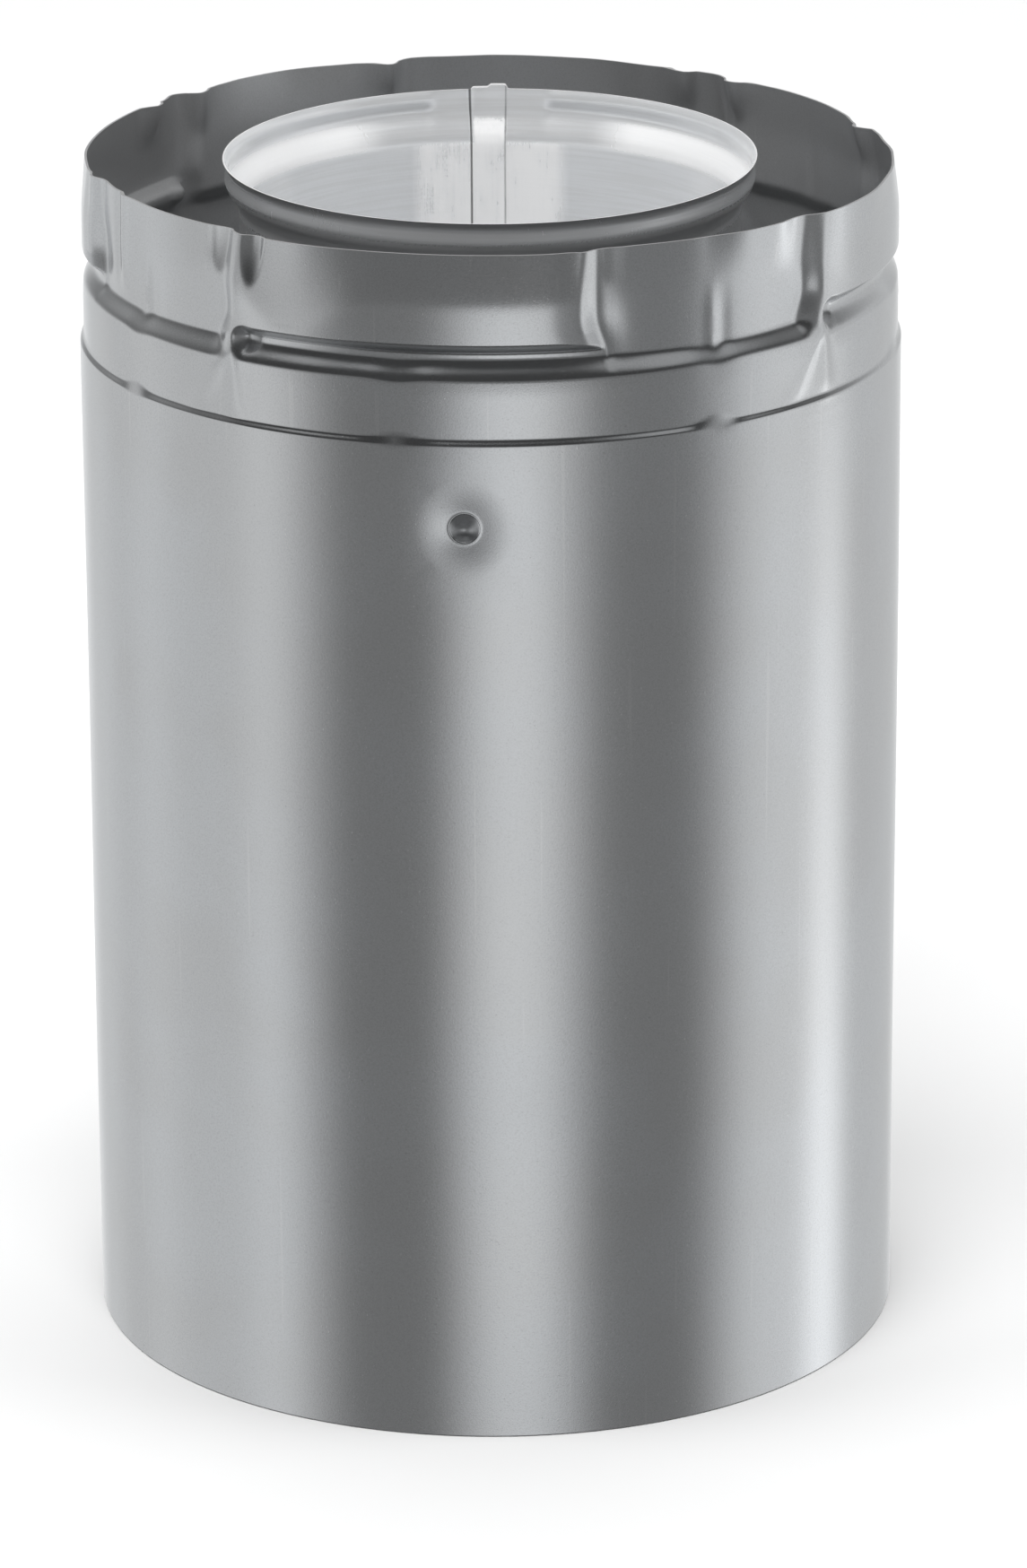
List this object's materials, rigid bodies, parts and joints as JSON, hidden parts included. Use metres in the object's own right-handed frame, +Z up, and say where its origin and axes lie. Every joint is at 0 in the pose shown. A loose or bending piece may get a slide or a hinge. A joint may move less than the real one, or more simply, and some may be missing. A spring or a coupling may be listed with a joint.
{
  "type": "direct vent pipe extension",
  "caption": "Straight twin-wall vent pipe length: galvanised casing with a twist-lock male collar round a belled aluminium flue pipe held by clinched straps.",
  "frame": {"origin": "centre of the casing's lower rim, on the pipe's axis", "axes": "+Z up the pipe towards the collar with the entry slots; -Y is the side with the clinched button"},
  "size_m": [0.1682, 0.1682, 0.2477],
  "materials": {
    "galvanised_sheet": "satin galvanised sheet",
    "aluminium_sheet": "bright mill-finish sheet",
    "strap_sheet": "galvanised strip"
  },
  "bodies": {
    "root": {"outer_pipe": "galvanised_sheet", "inner_pipe": "aluminium_sheet", "standoff_strap_1": "strap_sheet", "standoff_strap_2": "strap_sheet", "standoff_strap_3": "strap_sheet"}
  },
  "joints": []
}
